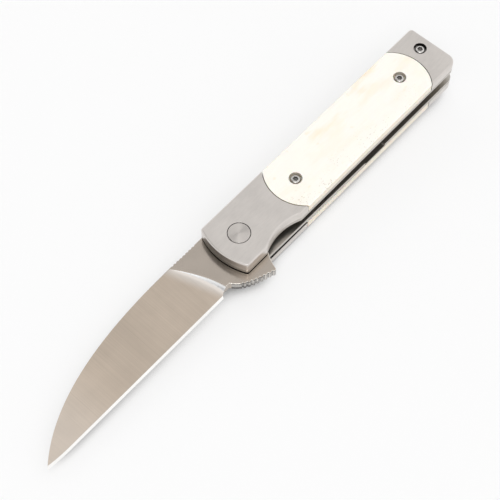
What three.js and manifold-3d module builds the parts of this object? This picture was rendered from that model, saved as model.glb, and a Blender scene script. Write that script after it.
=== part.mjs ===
// A folding pocket knife: bone scales, steel bolsters and liners, a flipper tab and a liner lock.
//
// It is modelled open, lying on its back. Lengths are in millimetres and angles in degrees.
// X runs from the blade's tip to the butt, Y from the cutting edge to the spine and
// Z from the back of the handle to its show side. Until the knife is set down at the end
// of this file, the pivot's axis is X = 0, Y = 0, and Z = 0 is halfway through the blade.

import * as THREE from "three";
import { mergeVertices } from "three/addons/utils/BufferGeometryUtils.js";
import Module from "manifold-3d";

const wasm = await Module();
wasm.setup();

// Handle, as seen from its show side
const handleWidth = 18.8;
const buttReach = 93.2; // from the pivot's axis to the butt
const frontReach = 8.7; // from the pivot's axis to the crown of the front end
const frontEndRadius = 21;
const frontCornerRadius = 0.9;
const buttSpineRadius = 1.2;
const buttEdgeRadius = 3.2;
const coverChamfer = 0.4;

// Thickness of each layer
const bladeThickness = 3.1;
const bladeClearance = 0.45; // on either side of the blade, to the liner
const linerThickness = 1.3;
const coverThickness = 3.1; // bolsters and scales
const layerGap = 0.05;

// Bone scales, each ended by two arcs that bulge into the bolsters
const boneFrontReach = 16.9; // from the pivot's axis
const rearBolsterLength = 8.9; // along the handle's middle
const boneEndRadius = 13;
const boneSeam = 0.2;

// Notch in the show side that lets a thumb reach the lock bar
const notchCentre = 9.8;
const notchLength = 15.6;
const notchDepth = 1.8;

// Pivot: a blank head and barrel from the show side, a screw from the back
const pivotHeadRadius = 3.5;
const pivotHeadThickness = 1.6;
const pivotBarrelRadius = 2.5;
const pivotThreadRadius = 1.5;
const pivotThreadDepth = 6;
const pivotDriveRadius = 1.3;
const pivotDriveDepth = 0.9;
const runningGap = 0.06;
const headGap = 0.1;

// Bearings: caged balls, half sunk in the liner and half in the tang
const ballRadius = 0.75;
const ballCircleRadius = 4.1;
const ballCount = 9;
const cageThickness = 0.7;
const cageWidth = 2.4;
const bearingRoom = 0.2; // around the cage
const bearingPlay = 0.04; // along the pivot

// Blade
const spineHeight = 9.12; // from the pivot's axis to the back of the blade
const spineStraight = 20; // length of its straight stretch, from the pivot's axis
const bladeReach = 88.4; // from the pivot's axis to the tip
const edgeDrop = 9.0; // from the pivot's axis down to the cutting edge
const tipDrop = 8.45;
const edgeSweep = 9.5; // length over which the edge rises to the tip
const heelReach = 16.8; // from the pivot's axis to the start of the edge
const shoulderThickness = 0.56; // where the grind meets the edge bevel
const edgeBevelWidth = 0.72;
const grindTop = 8.9; // height at which the grind runs out
const plungeFillet = 3.0;
const plungeInset = 3.05; // from the start of the edge back to the plunge
const plungeLean = 8.15; // how much further back the plunge is at the edge than at the spine
const plungeSteps = 9; // facets from the tang down to the ground face

// Tang, stop pin and flipper tab
const tangRadius = 6.4;
const lockFaceAngle = -71.7;
const lockFaceReach = 9.55;
const closingAngle = 174.5;
const stopPinRadius = 1.25;
const stopPinTrack = 7.9; // from the pivot's axis to the pin's
const stopGap = 0.05;
const tabDrop = 14.4;
const choilDrop = 7.2;
const choilLength = 4.2;
const tabGrooves = 8;
const tabGroovesStart = 4.1; // along the tab's front, from the choil
const tabGroovePitch = 1.38;
const tabGrooveRadius = 0.38;
const tabGrooveDepth = 0.32;
const spineGrooves = 8;
const spineGrooveRadius = 0.5;
const spineGrooveDepth = 0.2;

// Lock bar, cut from the back liner
const barWidth = 5.8;
const barSlot = 0.6;
const barClearance = 0.4; // from the tang's round to the bar
const reliefStart = 48.3;
const reliefLength = 9.5;
const reliefThickness = 0.5;
const barRootGap = 0.3;
const lockGap = 0.1;
const lockLift = 1.65; // how far the bar's tip stands out of the liner
const detentRadius = 8.0; // from the pivot's axis to the detent ball
const detentAngle = -45;
const detentBallRadius = 0.75;
const detentHoleRadius = 0.52;
const detentHoleDepth = 0.35;
const detentReach = 0.15; // how deep the ball sits in its hole

// Backspacer
const spacerFront = 20;
const spacerInset = 0.25;
const bladeRoom = 0.6; // between the closed edge and the backspacer

// Fasteners
const screwHeadRadius = 1.55;
const screwHeadHeight = 1.0;
const screwShankRadius = 0.95;
const counterboreRadius = 2.1;
const scaleScrewSink = 1.35; // depth of the scales' counterbores
const buttScrewSink = 1.35;
const screwGap = 0.05;
const driveRadius = 0.8;
const driveDepth = 0.6;
const sunkHeadRadius = 1.35;
const sunkShankRadius = 0.75;
const sunkScrewLength = 3.2;
const scaleScrewInset = 8.65; // from either end of the bone
const buttScrewInset = 4.4; // from the butt
const buttScrewRise = 2.2; // from the handle's middle
const spacerScrewReach = 52; // from the pivot's axis
const spacerScrewInset = 2.3; // from the handle's spine side
const bolsterScrewInset = 3.2; // from the handle's sides
const bolsterScrewReach = [10.6, -4.3]; // from the pivot's axis, on the spine and the edge side
const rearScrewInset = 6; // from the butt
const rearScrewRise = 4.2; // from the handle's edge side

// Pocket clip
const clipInset = 1.2; // from the butt
const clipRootLength = 6.5;
const clipRise = 2.0;
const clipRampLength = 6;
const clipCrestLength = 10;
const clipBowLength = 27.5;
const clipTailLength = 6;
const clipTailRise = 1.5;
const clipTouchGap = 0.15;
const clipThickness = 0.9;
const clipRootWidth = 9;
const clipTailWidth = 6;

// Finish of the curves
const flatness = 0.015;
const roundSteps = 40;
const screwSteps = 20;
const sunkSteps = 14;
const cageSteps = 27;

// Sizes that follow
const half = handleWidth / 2;
const slotHalf = bladeThickness / 2 + bladeClearance;
const linerOuter = slotHalf + linerThickness;
const coverInner = linerOuter + layerGap;
const coverOuter = coverInner + coverThickness;
const bladeHalf = bladeThickness / 2;
const shoulderHalf = shoulderThickness / 2;
const beyond = 1; // how far a cutting tool reaches past what it cuts
const pinHalfAngle = degrees(Math.asin((stopPinRadius + stopGap) / stopPinTrack));
const stopPinAngle = lockFaceAngle + pinHalfAngle + closingAngle;
const cageInner = ballCircleRadius - cageWidth / 2;
const cageOuter = ballCircleRadius + cageWidth / 2;
const bearingPocket = ballRadius - bladeClearance / 2 + bearingPlay / 2;
const boneRearReach = buttReach - rearBolsterLength;
const barTop = half - barWidth;
const clipRootEnd = buttReach - clipInset;

// Places in the handle's plan
const pivotPlace = new THREE.Vector2(0, 0);
const scaleScrewPlaces = [
  new THREE.Vector2(boneFrontReach + scaleScrewInset, 0),
  new THREE.Vector2(boneRearReach - scaleScrewInset, 0),
];
const buttScrewPlace = new THREE.Vector2(buttReach - buttScrewInset, buttScrewRise);
const clipScrewPlaces = [buttScrewPlace, new THREE.Vector2(buttScrewPlace.x, -buttScrewRise)];
const spacerScrewPlace = new THREE.Vector2(spacerScrewReach, half - spacerScrewInset);
const bolsterScrewPlaces = [
  new THREE.Vector2(bolsterScrewReach[0], half - bolsterScrewInset),
  new THREE.Vector2(bolsterScrewReach[1], bolsterScrewInset - half),
];
const rearScrewPlace = new THREE.Vector2(buttReach - rearScrewInset, rearScrewRise - half);

function radians(angle) {
  return (angle * Math.PI) / 180;
}

function degrees(angle) {
  return (angle * 180) / Math.PI;
}

function polar(radius, angle) {
  return new THREE.Vector2(radius * Math.cos(radians(angle)), radius * Math.sin(radians(angle)));
}

// Points of an arc, from one angle to another, close enough together to look round.
function arc(x, y, radius, from, to) {
  const step = 2 * Math.acos(1 - flatness / radius);
  const steps = Math.max(2, Math.ceil(Math.abs(radians(to - from)) / step));
  return new THREE.ArcCurve(x, y, radius, radians(from), radians(to), to < from).getPoints(steps);
}

// Solids and booleans

function solid(shape) {
  if (!shape.isBufferGeometry) return shape;
  const bare = shape.clone();
  bare.deleteAttribute("normal");
  bare.deleteAttribute("uv");
  const merged = mergeVertices(bare, 1e-5);
  return new wasm.Manifold(
    new wasm.Mesh({
      numProp: 3,
      vertProperties: Float32Array.from(merged.attributes.position.array),
      triVerts: Uint32Array.from(merged.index.array),
    }),
  );
}

function cut(shape, ...tools) {
  return tools.reduce((rest, tool) => rest.subtract(solid(tool)), solid(shape));
}

function join(...shapes) {
  return shapes.map(solid).reduce((sum, shape) => sum.add(shape));
}

function common(first, second) {
  return solid(first).intersect(solid(second));
}

function geometryOf(shape) {
  if (shape.isBufferGeometry) return shape;
  const { vertProperties, triVerts } = shape.getMesh();
  const geometry = new THREE.BufferGeometry();
  geometry.setAttribute("position", new THREE.BufferAttribute(vertProperties, 3));
  geometry.setIndex(new THREE.BufferAttribute(triVerts, 1));
  return geometry;
}

// Turns every face of an indexed geometry over.
function turnOver(geometry) {
  const index = geometry.index.array;
  for (let i = 0; i < index.length; i += 3) {
    [index[i], index[i + 1]] = [index[i + 1], index[i]];
  }
  return geometry;
}

// The same shape on the other side of the blade's middle plane.
function mirrored(geometry) {
  return turnOver(geometry.clone().scale(1, 1, -1));
}

function prism(points, low, high) {
  const options = { depth: high - low, bevelEnabled: false };
  return new THREE.ExtrudeGeometry(new THREE.Shape(points), options).translate(0, 0, low);
}

function disc(radius, low, high, x = 0, y = 0, steps = roundSteps) {
  return new THREE.CylinderGeometry(radius, radius, high - low, steps)
    .rotateX(Math.PI / 2)
    .translate(x, y, (low + high) / 2);
}

function box(lowX, highX, lowY, highY, lowZ, highZ) {
  return new THREE.BoxGeometry(highX - lowX, highY - lowY, highZ - lowZ).translate(
    (lowX + highX) / 2,
    (lowY + highY) / 2,
    (lowZ + highZ) / 2,
  );
}

// A plate with a chamfer round its upper face.
function chamferedPlate(points, low, high) {
  const options = {
    depth: high - low,
    bevelThickness: coverChamfer,
    bevelSize: coverChamfer,
    bevelOffset: -coverChamfer,
    bevelSegments: 1,
  };
  const plate = new THREE.ExtrudeGeometry(new THREE.Shape(points), options);
  plate.translate(0, 0, low - coverChamfer);
  const wide = buttReach + beyond;
  return cut(plate, box(-wide, wide, -handleWidth, handleWidth, low - 3 * coverChamfer, low));
}

// A body between a surface and a flat lid above it. The surface is given as rows of points,
// ordered so that its lower side faces out.
function surfaceBlock(rows, lid) {
  const width = rows[0].length;
  const count = rows.length * width;
  const points = rows.flat();
  const position = [
    ...points.flatMap((point) => [point.x, point.y, point.z]),
    ...points.flatMap((point) => [point.x, point.y, lid]),
  ];
  const index = [];
  const quad = (a, b, c, d) => index.push(a, b, c, a, c, d);
  for (let i = 0; i + 1 < rows.length; i += 1) {
    for (let j = 0; j + 1 < width; j += 1) {
      const a = i * width + j;
      quad(a, a + 1, a + 1 + width, a + width);
      quad(count + a, count + a + width, count + a + width + 1, count + a + 1);
    }
    const first = i * width;
    const last = first + width - 1;
    quad(first, first + width, count + first + width, count + first);
    quad(last + width, last, count + last, count + last + width);
  }
  for (let j = 0; j + 1 < width; j += 1) {
    const end = (rows.length - 1) * width + j;
    quad(j + 1, j, count + j, count + j + 1);
    quad(end, end + 1, count + end + 1, count + end);
  }
  const geometry = new THREE.BufferGeometry();
  geometry.setAttribute("position", new THREE.Float32BufferAttribute(position, 3));
  geometry.setIndex(index);
  return geometry;
}

// Outline of the handle, drawn in by `inset` all round.
function handleOutline(inset = 0) {
  const side = half - inset;
  const radius = frontEndRadius - inset;
  const centre = frontEndRadius - frontReach;
  const corner = frontCornerRadius - inset;
  const cornerX = centre - Math.sqrt((radius - corner) ** 2 - (side - corner) ** 2);
  const cornerAngle = degrees(Math.atan2(side - corner, cornerX - centre));
  const butt = buttReach - inset;
  const edgeRound = buttEdgeRadius - inset;
  const spineRound = buttSpineRadius - inset;
  return [
    ...arc(cornerX, side - corner, corner, 90, cornerAngle),
    ...arc(centre, 0, radius, cornerAngle, 360 - cornerAngle).slice(1, -1),
    ...arc(cornerX, corner - side, corner, 360 - cornerAngle, 270),
    ...arc(butt - edgeRound, edgeRound - side, edgeRound, -90, 0),
    ...arc(butt - spineRound, side - spineRound, spineRound, 0, 90),
  ];
}

// Outline of the bone's stretch of the handle, grown by `grow`, past both sides of the handle.
function boneOutline(grow) {
  const radius = boneEndRadius + grow;
  const frontCentre = boneFrontReach + boneEndRadius;
  const rearCentre = boneRearReach - boneEndRadius;
  const swing = degrees(Math.asin((half + beyond) / radius));
  return [
    ...arc(frontCentre, 0, radius, 180 - swing, 180 + swing),
    ...arc(rearCentre, 0, radius, -swing, swing),
  ];
}

// The round tool that cuts the thumb notch into the show side. It flares at the top,
// so that the notch has the handle's chamfer.
function notchTool() {
  const reach = notchLength / 2;
  const radius = (reach ** 2 + notchDepth ** 2) / (2 * notchDepth);
  const centreY = notchDepth - half - radius;
  const swing = degrees(Math.acos(1 - (notchDepth + beyond) / radius));
  const points = arc(notchCentre, centreY, radius, 90 - swing, 90 + swing);
  const flare = new THREE.ExtrudeGeometry(new THREE.Shape(points), {
    depth: beyond,
    bevelThickness: coverChamfer,
    bevelSize: coverChamfer,
    bevelSegments: 1,
  });
  return join(prism(points, 0, coverOuter + beyond), flare.translate(0, 0, coverOuter));
}

// Handle covers

// The plate that both bolsters and the scale of one side are cut from.
function coverPlate(side) {
  const plate = chamferedPlate(handleOutline(), coverInner, coverOuter);
  return side > 0 ? cut(plate, notchTool()) : mirrored(geometryOf(plate));
}

// A hole into one side of the handle, between two distances from the blade's middle plane.
function bore(side, radius, place, from = 0, to = coverOuter + beyond) {
  const [low, high] = side > 0 ? [from, to] : [-to, -from];
  const steps = radius < pivotBarrelRadius ? screwSteps : roundSteps;
  return disc(radius, low, high, place.x, place.y, steps);
}

function sunkScrewBores(side, places) {
  const depth = slotHalf + sunkScrewLength + screwGap;
  return places.map((place) => bore(side, sunkShankRadius + screwGap, place, 0, depth));
}

// The stretch of one side's cover plate between two places along the handle.
function coverPart(side, lowX, highX) {
  return common(coverPlate(side), box(lowX, highX, -half, half, -coverOuter, coverOuter));
}

function frontBolster(side) {
  return cut(
    coverPart(side, -frontReach - beyond, boneFrontReach + boneEndRadius),
    prism(boneOutline(boneSeam / 2), -coverOuter - beyond, coverOuter + beyond),
    bore(side, pivotBarrelRadius + runningGap, pivotPlace),
    bore(side, pivotHeadRadius + headGap, pivotPlace, coverOuter - pivotHeadThickness),
    ...sunkScrewBores(side, bolsterScrewPlaces),
  );
}

function rearBolster(side) {
  const places = side > 0 ? [buttScrewPlace] : clipScrewPlaces;
  const counterbores = side > 0 ? places : [];
  return cut(
    coverPart(side, boneRearReach - boneEndRadius, buttReach + beyond),
    prism(boneOutline(boneSeam / 2), -coverOuter - beyond, coverOuter + beyond),
    ...sunkScrewBores(side, [rearScrewPlace]),
    ...places.map((place) => bore(side, screwShankRadius + screwGap, place)),
    ...counterbores.map((place) => bore(side, counterboreRadius, place, coverOuter - buttScrewSink)),
  );
}

function boneScale(side) {
  const bone = prism(boneOutline(-boneSeam / 2), -coverOuter, coverOuter);
  return cut(
    common(coverPlate(side), bone),
    ...scaleScrewPlaces.map((place) => bore(side, screwShankRadius + screwGap, place)),
    ...scaleScrewPlaces.map((place) => bore(side, counterboreRadius, place, coverOuter - scaleScrewSink)),
  );
}

// Liners and lock bar

function plainLiner(side) {
  const ends = side > 0 ? [slotHalf, linerOuter] : [-linerOuter, -slotHalf];
  const buttPlaces = side > 0 ? [buttScrewPlace] : clipScrewPlaces;
  const sunkPlaces = [...bolsterScrewPlaces, rearScrewPlace, spacerScrewPlace];
  return cut(
    prism(handleOutline(), ...ends),
    bore(side, pivotBarrelRadius + runningGap, pivotPlace),
    bore(side, cageOuter + bearingRoom, pivotPlace, 0, slotHalf + bearingPocket),
    bore(side, stopPinRadius + screwGap, polar(stopPinTrack, stopPinAngle)),
    ...[...scaleScrewPlaces, ...buttPlaces].map((place) => bore(side, screwShankRadius + screwGap, place)),
    ...sunkPlaces.map((place) => sunkSeat(side, place)),
  );
}

// The tapered hole that a sunk screw's head fills, open on the face it is driven from.
function sunkSeat(side, place) {
  const shank = sunkShankRadius + screwGap;
  const head = sunkHeadRadius + screwGap;
  const taper = head - shank;
  const profile = [
    new THREE.Vector2(0, -beyond),
    new THREE.Vector2(head, -beyond),
    new THREE.Vector2(head, 0),
    new THREE.Vector2(shank, taper),
    new THREE.Vector2(shank, linerThickness + beyond),
    new THREE.Vector2(0, linerThickness + beyond),
  ];
  const seat = new THREE.LatheGeometry(profile, sunkSteps).rotateX(Math.PI / 2);
  const fromOutside = place === spacerScrewPlace;
  if (side > 0 === fromOutside) seat.rotateX(Math.PI);
  return seat.translate(place.x, place.y, side * (fromOutside ? linerOuter : slotHalf));
}

function showLiner() {
  return cut(plainLiner(1), notchTool());
}

function backLiner() {
  const window = barOutline(-lockFaceGapAngle(), -barSlot, reliefStart + barRootGap);
  const relief = box(
    reliefStart,
    reliefStart + reliefLength,
    -half - beyond,
    barSlot - barTop,
    reliefThickness - linerOuter,
    beyond - slotHalf,
  );
  return cut(plainLiner(-1), prism(window, -linerOuter - beyond, beyond - slotHalf), relief);
}

// How far round the pivot the slot in front of the bar's tip reaches.
function lockFaceGapAngle() {
  return degrees(barSlot / lockFaceReach);
}

// Outline of the lock bar: its tip lies along the tang's lock face, and its inner side
// rounds the tang. `turn` and `grow` widen it into the window that it sits in.
function barOutline(turn, grow, root) {
  const face = lockFaceAngle + turn;
  const round = tangRadius + barClearance + grow;
  const top = barTop + grow;
  const edge = half + (grow < 0 ? beyond : 0);
  const clear = grow < 0 ? 0 : lockGap / Math.sin(radians(-face));
  return [
    new THREE.Vector2(edge / Math.tan(radians(-face)) + clear, -edge),
    new THREE.Vector2(root, -edge),
    new THREE.Vector2(root, -top),
    ...arc(0, 0, round, degrees(Math.asin(-top / round)), face + degrees(clear / round)),
  ];
}

const barHinge = new THREE.Vector3(reliefStart + reliefLength / 2, 0, reliefThickness / 2 - linerOuter);
const detentPlace = polar(detentRadius, detentAngle);

// The lock bar as it lies in the liner, about its hinge in the relief.
function lockBar() {
  const bar = prism(barOutline(0, 0, reliefStart), -linerOuter, -slotHalf);
  const ballHole = bore(-1, detentBallRadius + runningGap, detentPlace);
  return geometryOf(cut(bar, ballHole)).translate(-barHinge.x, -barHinge.y, -barHinge.z);
}

function detentBallCentre() {
  const depth = bladeHalf - detentReach + detentBallRadius;
  return new THREE.Vector3(detentPlace.x, detentPlace.y, -depth).sub(barHinge);
}

// The angle that the engaged bar makes with its liner.
function lockAngle() {
  const tip = half / Math.tan(radians(-lockFaceAngle));
  return Math.asin(lockLift / (barHinge.x - tip));
}

// Blade

const bladeTip = new THREE.Vector2(-bladeReach, -tipDrop);
const heel = new THREE.Vector2(-heelReach, -edgeDrop);
const spineCurve = new THREE.CubicBezierCurve(
  new THREE.Vector2(-spineStraight, spineHeight),
  new THREE.Vector2(-spineStraight - 27.9, spineHeight),
  new THREE.Vector2(15.1 - bladeReach, 14.1 - tipDrop),
  bladeTip,
);
const edgeCurve = new THREE.QuadraticBezierCurve(
  bladeTip,
  new THREE.Vector2(edgeSweep * 0.45 - bladeReach, -edgeDrop),
  new THREE.Vector2(edgeSweep - bladeReach, -edgeDrop),
);
const plungeStart = new THREE.Vector2(plungeInset - heelReach, -edgeDrop - 1.5);
const plungeCurve = new THREE.QuadraticBezierCurve(
  plungeStart,
  new THREE.Vector2(plungeStart.x, -1.6),
  new THREE.Vector2(plungeStart.x - plungeLean, spineHeight + 1.5),
);
const choilEnd = new THREE.Vector2(choilLength - heelReach, -choilDrop - 0.1);
const choilTop = new THREE.Vector2(heel.x + 0.8, -choilDrop);
const choilCurve = new THREE.QuadraticBezierCurve(heel, choilTop, choilEnd);
const tabFront = new THREE.CubicBezierCurve(
  choilEnd,
  new THREE.Vector2(choilEnd.x + 2.4, 2.9 - tabDrop),
  new THREE.Vector2(choilEnd.x + 6.2, 2.1 - tabDrop),
  new THREE.Vector2(-0.8, -tabDrop),
);

function bladeOutline() {
  const edgeSpare = new THREE.Vector2(0, -0.3); // the bevel takes this off again
  const tabTip = new THREE.QuadraticBezierCurve(
    tabFront.v3,
    new THREE.Vector2(0.3, -tabDrop - 0.6),
    new THREE.Vector2(0.55, 0.6 - tabDrop),
  );
  const lockFaceEnd = polar(lockFaceReach, lockFaceAngle);
  const tabBack = new THREE.QuadraticBezierCurve(
    tabTip.v2,
    new THREE.Vector2(1.3, 3.2 - tabDrop),
    lockFaceEnd,
  );
  const shoulderAngle = stopPinAngle + pinHalfAngle;
  return [
    ...arc(0, 0, tangRadius, lockFaceAngle, shoulderAngle),
    new THREE.Vector2(spineHeight / Math.tan(radians(shoulderAngle)), spineHeight),
    ...spineCurve.getPoints(28),
    ...edgeCurve.getPoints(6).slice(1).map((point) => point.add(edgeSpare)),
    heel.clone().add(edgeSpare),
    ...choilCurve.getPoints(8),
    ...tabFront.getPoints(20).slice(1),
    ...tabTip.getPoints(6).slice(1),
    ...tabBack.getPoints(8).slice(1),
  ];
}

// Half the blade's thickness on its ground face.
function groundHalf(y) {
  const slope = (bladeHalf - shoulderHalf) / (grindTop + edgeDrop - edgeBevelWidth);
  return shoulderHalf + (y + edgeDrop - edgeBevelWidth) * slope;
}

// What the grind takes off one face: a flat that ends in a rounded plunge at the tang.
function grindTool() {
  const deepest = bladeHalf - shoulderHalf;
  const rows = plungeCurve.getPoints(16).map((plunge) => {
    const depth = Math.max(bladeHalf - groundHalf(plunge.y), -layerGap);
    const length = plungeFillet * Math.sqrt(Math.max(depth, layerGap) / deepest);
    const row = [new THREE.Vector3(plunge.x + layerGap, plunge.y, bladeHalf + layerGap)];
    for (let i = 0; i <= plungeSteps; i += 1) {
      const turn = radians((90 * i) / plungeSteps);
      const along = length * (1 - Math.cos(turn));
      const height = bladeHalf - depth * Math.sin(turn);
      row.push(new THREE.Vector3(plunge.x - along, plunge.y, height));
    }
    row.push(new THREE.Vector3(-bladeReach - beyond, plunge.y, bladeHalf - depth));
    return row;
  });
  return surfaceBlock(rows, bladeHalf + beyond);
}

// What the sharpening takes off one face, along the whole edge.
function edgeTool() {
  const slope = shoulderHalf / edgeBevelWidth;
  const start = new THREE.Vector2(beyond - heelReach, -edgeDrop);
  const run = edgeCurve.getPoints(6);
  const past = run[0].clone().sub(run[1]).setLength(beyond).add(run[0]);
  const rows = [past, ...run, start].map((point) =>
    [-beyond, 2 * edgeBevelWidth].map((off) => new THREE.Vector3(point.x, point.y + off, off * slope)),
  );
  return surfaceBlock(rows, bladeHalf + beyond);
}

function grooveTool(radius, place) {
  return disc(radius, -bladeHalf - beyond, bladeHalf + beyond, place.x, place.y, 10);
}

function tabGrooveTools() {
  const length = tabFront.getLength();
  return Array.from({ length: tabGrooves }, (_, i) => {
    const along = Math.min(1, (tabGroovesStart + tabGroovePitch * i) / length);
    const ahead = tabFront.getTangentAt(along);
    const outward = new THREE.Vector2(ahead.y, -ahead.x).multiplyScalar(tabGrooveRadius - tabGrooveDepth);
    return grooveTool(tabGrooveRadius, tabFront.getPointAt(along).add(outward));
  });
}

function spineGrooveTools() {
  const start = frontReach + 1;
  const pitch = (spineStraight - start) / spineGrooves;
  const height = spineHeight + spineGrooveRadius - spineGrooveDepth;
  return Array.from({ length: spineGrooves }, (_, i) =>
    grooveTool(spineGrooveRadius, new THREE.Vector2(-start - pitch * (i + 0.5), height)),
  );
}

function blade() {
  const plate = prism(bladeOutline(), -bladeHalf, bladeHalf);
  const grind = grindTool();
  const sharpen = edgeTool();
  const recess = cageOuter + bearingRoom;
  const detent = detentPlace.clone().rotateAround(pivotPlace, radians(-closingAngle));
  return cut(
    plate,
    grind,
    mirrored(grind),
    sharpen,
    mirrored(sharpen),
    disc(pivotBarrelRadius + runningGap, -bladeHalf - beyond, bladeHalf + beyond),
    bore(1, recess, pivotPlace, bladeHalf - bearingPocket),
    bore(-1, recess, pivotPlace, bladeHalf - bearingPocket),
    bore(-1, detentHoleRadius, detent, bladeHalf - detentHoleDepth),
    ...tabGrooveTools(),
    ...spineGrooveTools(),
  );
}

// Pivot, bearings and stop pin

function turned(profile, steps = roundSteps) {
  const points = profile.map(([radius, height]) => new THREE.Vector2(radius, height));
  return new THREE.LatheGeometry(points, steps).rotateX(Math.PI / 2);
}

function pivotBarrel() {
  const face = coverOuter;
  const shoulder = coverOuter - pivotHeadThickness + layerGap;
  const end = -(coverOuter - pivotHeadThickness - layerGap);
  return turned([
    [0, end + pivotThreadDepth],
    [pivotThreadRadius, end + pivotThreadDepth],
    [pivotThreadRadius, end],
    [pivotBarrelRadius, end],
    [pivotBarrelRadius, shoulder],
    [pivotHeadRadius, shoulder],
    [pivotHeadRadius, face - layerGap],
    [pivotHeadRadius - layerGap, face],
    [0, face],
  ]);
}

function pivotScrew() {
  const shank = pivotThreadRadius - layerGap;
  const body = turned([
    [0, -coverOuter],
    [pivotHeadRadius - layerGap, -coverOuter],
    [pivotHeadRadius, layerGap - coverOuter],
    [pivotHeadRadius, pivotHeadThickness - layerGap - coverOuter],
    [shank, pivotHeadThickness - layerGap - coverOuter],
    [shank, pivotHeadThickness + pivotThreadDepth - coverOuter - 1],
    [0, pivotHeadThickness + pivotThreadDepth - coverOuter - 1],
  ]);
  const drive = prism(driveOutline(pivotDriveRadius), -coverOuter - beyond, pivotDriveDepth - coverOuter);
  return cut(body, drive);
}

function bearing(side) {
  const centre = side * (slotHalf + bearingPocket - bearingPlay / 2 - ballRadius);
  const low = centre - cageThickness / 2;
  const high = centre + cageThickness / 2;
  const disk = disc(cageOuter, low, high, 0, 0, cageSteps);
  const ring = cut(disk, disc(cageInner, low - beyond, high + beyond, 0, 0, cageSteps));
  const balls = Array.from({ length: ballCount }, (_, i) => {
    const place = polar(ballCircleRadius, (360 * i) / ballCount);
    const ball = new THREE.SphereGeometry(ballRadius, 8, 6).rotateX(Math.PI / 2);
    return ball.translate(place.x, place.y, centre);
  });
  return join(ring, ...balls);
}

function stopPin() {
  const place = polar(stopPinTrack, stopPinAngle);
  return disc(stopPinRadius, -linerOuter, linerOuter, place.x, place.y, screwSteps);
}

// Backspacer: it fills the slot behind the closed blade's edge.
function backspacer() {
  const origin = new THREE.Vector2(0, 0);
  const atEdge = (x) => {
    const closed = new THREE.Vector2(-x, -edgeDrop).rotateAround(origin, radians(closingAngle));
    return closed.add(polar(bladeRoom, closingAngle - 90));
  };
  const region = [
    new THREE.Vector2(spacerFront, atEdge(spacerFront).y),
    atEdge(buttReach + half),
    new THREE.Vector2(buttReach + half, half),
    new THREE.Vector2(spacerFront, half),
  ];
  const room = slotHalf - layerGap;
  const inside = prism(handleOutline(spacerInset), -room, room);
  return cut(
    common(inside, prism(region, -room - beyond, room + beyond)),
    ...[1, -1].map((side) => bore(side, screwShankRadius + screwGap, buttScrewPlace)),
    ...[1, -1].map((side) => bore(side, sunkShankRadius + screwGap, spacerScrewPlace)),
  );
}

// Fasteners, drawn with their heads towards +Z and the seat of the head at Z = 0

// Outline of a six-lobed drive.
function driveOutline(radius) {
  const lobes = 6;
  return Array.from({ length: lobes * 4 }, (_, i) => {
    const wave = Math.cos((i * Math.PI) / 2);
    return polar(radius * (0.87 + 0.13 * wave), (360 * i) / (lobes * 4));
  });
}

function buttonScrew(length) {
  const crown = screwHeadHeight;
  const body = turned(
    [
      [0, -length],
      [screwShankRadius, -length],
      [screwShankRadius, 0],
      [screwHeadRadius, 0],
      [screwHeadRadius, crown * 0.45],
      [screwHeadRadius * 0.88, crown * 0.78],
      [screwHeadRadius * 0.6, crown],
      [0, crown],
    ],
    screwSteps,
  );
  return cut(body, prism(driveOutline(driveRadius), crown - driveDepth, crown + beyond));
}

function sunkScrew(length) {
  const taper = sunkHeadRadius - sunkShankRadius;
  const body = turned(
    [
      [0, -length],
      [sunkShankRadius, -length],
      [sunkShankRadius, -taper],
      [sunkHeadRadius, 0],
      [0, 0],
    ],
    sunkSteps,
  );
  return cut(body, prism(driveOutline(driveRadius * 0.8), -driveDepth, beyond));
}

// Pocket clip

// The curves of the clip's inner face, as distance along X and height off the handle's back:
// a ramp off its flat root, a flat crest, a long bow that comes back to the scale, and a tail.
function clipCurves() {
  const rampStart = clipRootEnd - clipRootLength;
  const crestStart = rampStart - clipRampLength;
  const bowStart = crestStart - clipCrestLength;
  const touch = bowStart - clipBowLength;
  const point = (x, rise) => new THREE.Vector2(x, rise + layerGap);
  const ramp = new THREE.CubicBezierCurve(
    point(rampStart, 0),
    point(rampStart - clipRampLength / 2, 0),
    point(crestStart + clipRampLength / 2, clipRise),
    point(crestStart, clipRise),
  );
  const bow = new THREE.CubicBezierCurve(
    point(bowStart, clipRise),
    point(bowStart - clipBowLength / 3, clipRise),
    point(touch + clipBowLength / 4, clipTouchGap),
    point(touch, clipTouchGap),
  );
  const tail = new THREE.QuadraticBezierCurve(
    point(touch, clipTouchGap),
    point(touch - clipTailLength / 2, clipTouchGap),
    point(touch - clipTailLength, clipTailRise),
  );
  return { ramp, bow, tail };
}

// The clip seen from the edge side, as a strip of even thickness along its curves.
function clipSide({ ramp, bow, tail }) {
  const inner = [new THREE.Vector2(clipRootEnd, layerGap)];
  const outer = [new THREE.Vector2(clipRootEnd, layerGap + clipThickness)];
  for (const [curve, steps] of [[ramp, 10], [bow, 14], [tail, 6]]) {
    for (let i = curve === tail ? 1 : 0; i <= steps; i += 1) {
      const point = curve.getPoint(i / steps);
      const along = curve.getTangent(i / steps);
      inner.push(point);
      outer.push(new THREE.Vector2(point.x + along.y * clipThickness, point.y - along.x * clipThickness));
    }
  }
  return [...inner, ...outer.reverse()].map((point) => new THREE.Vector2(point.x, -coverOuter - point.y));
}

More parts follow.
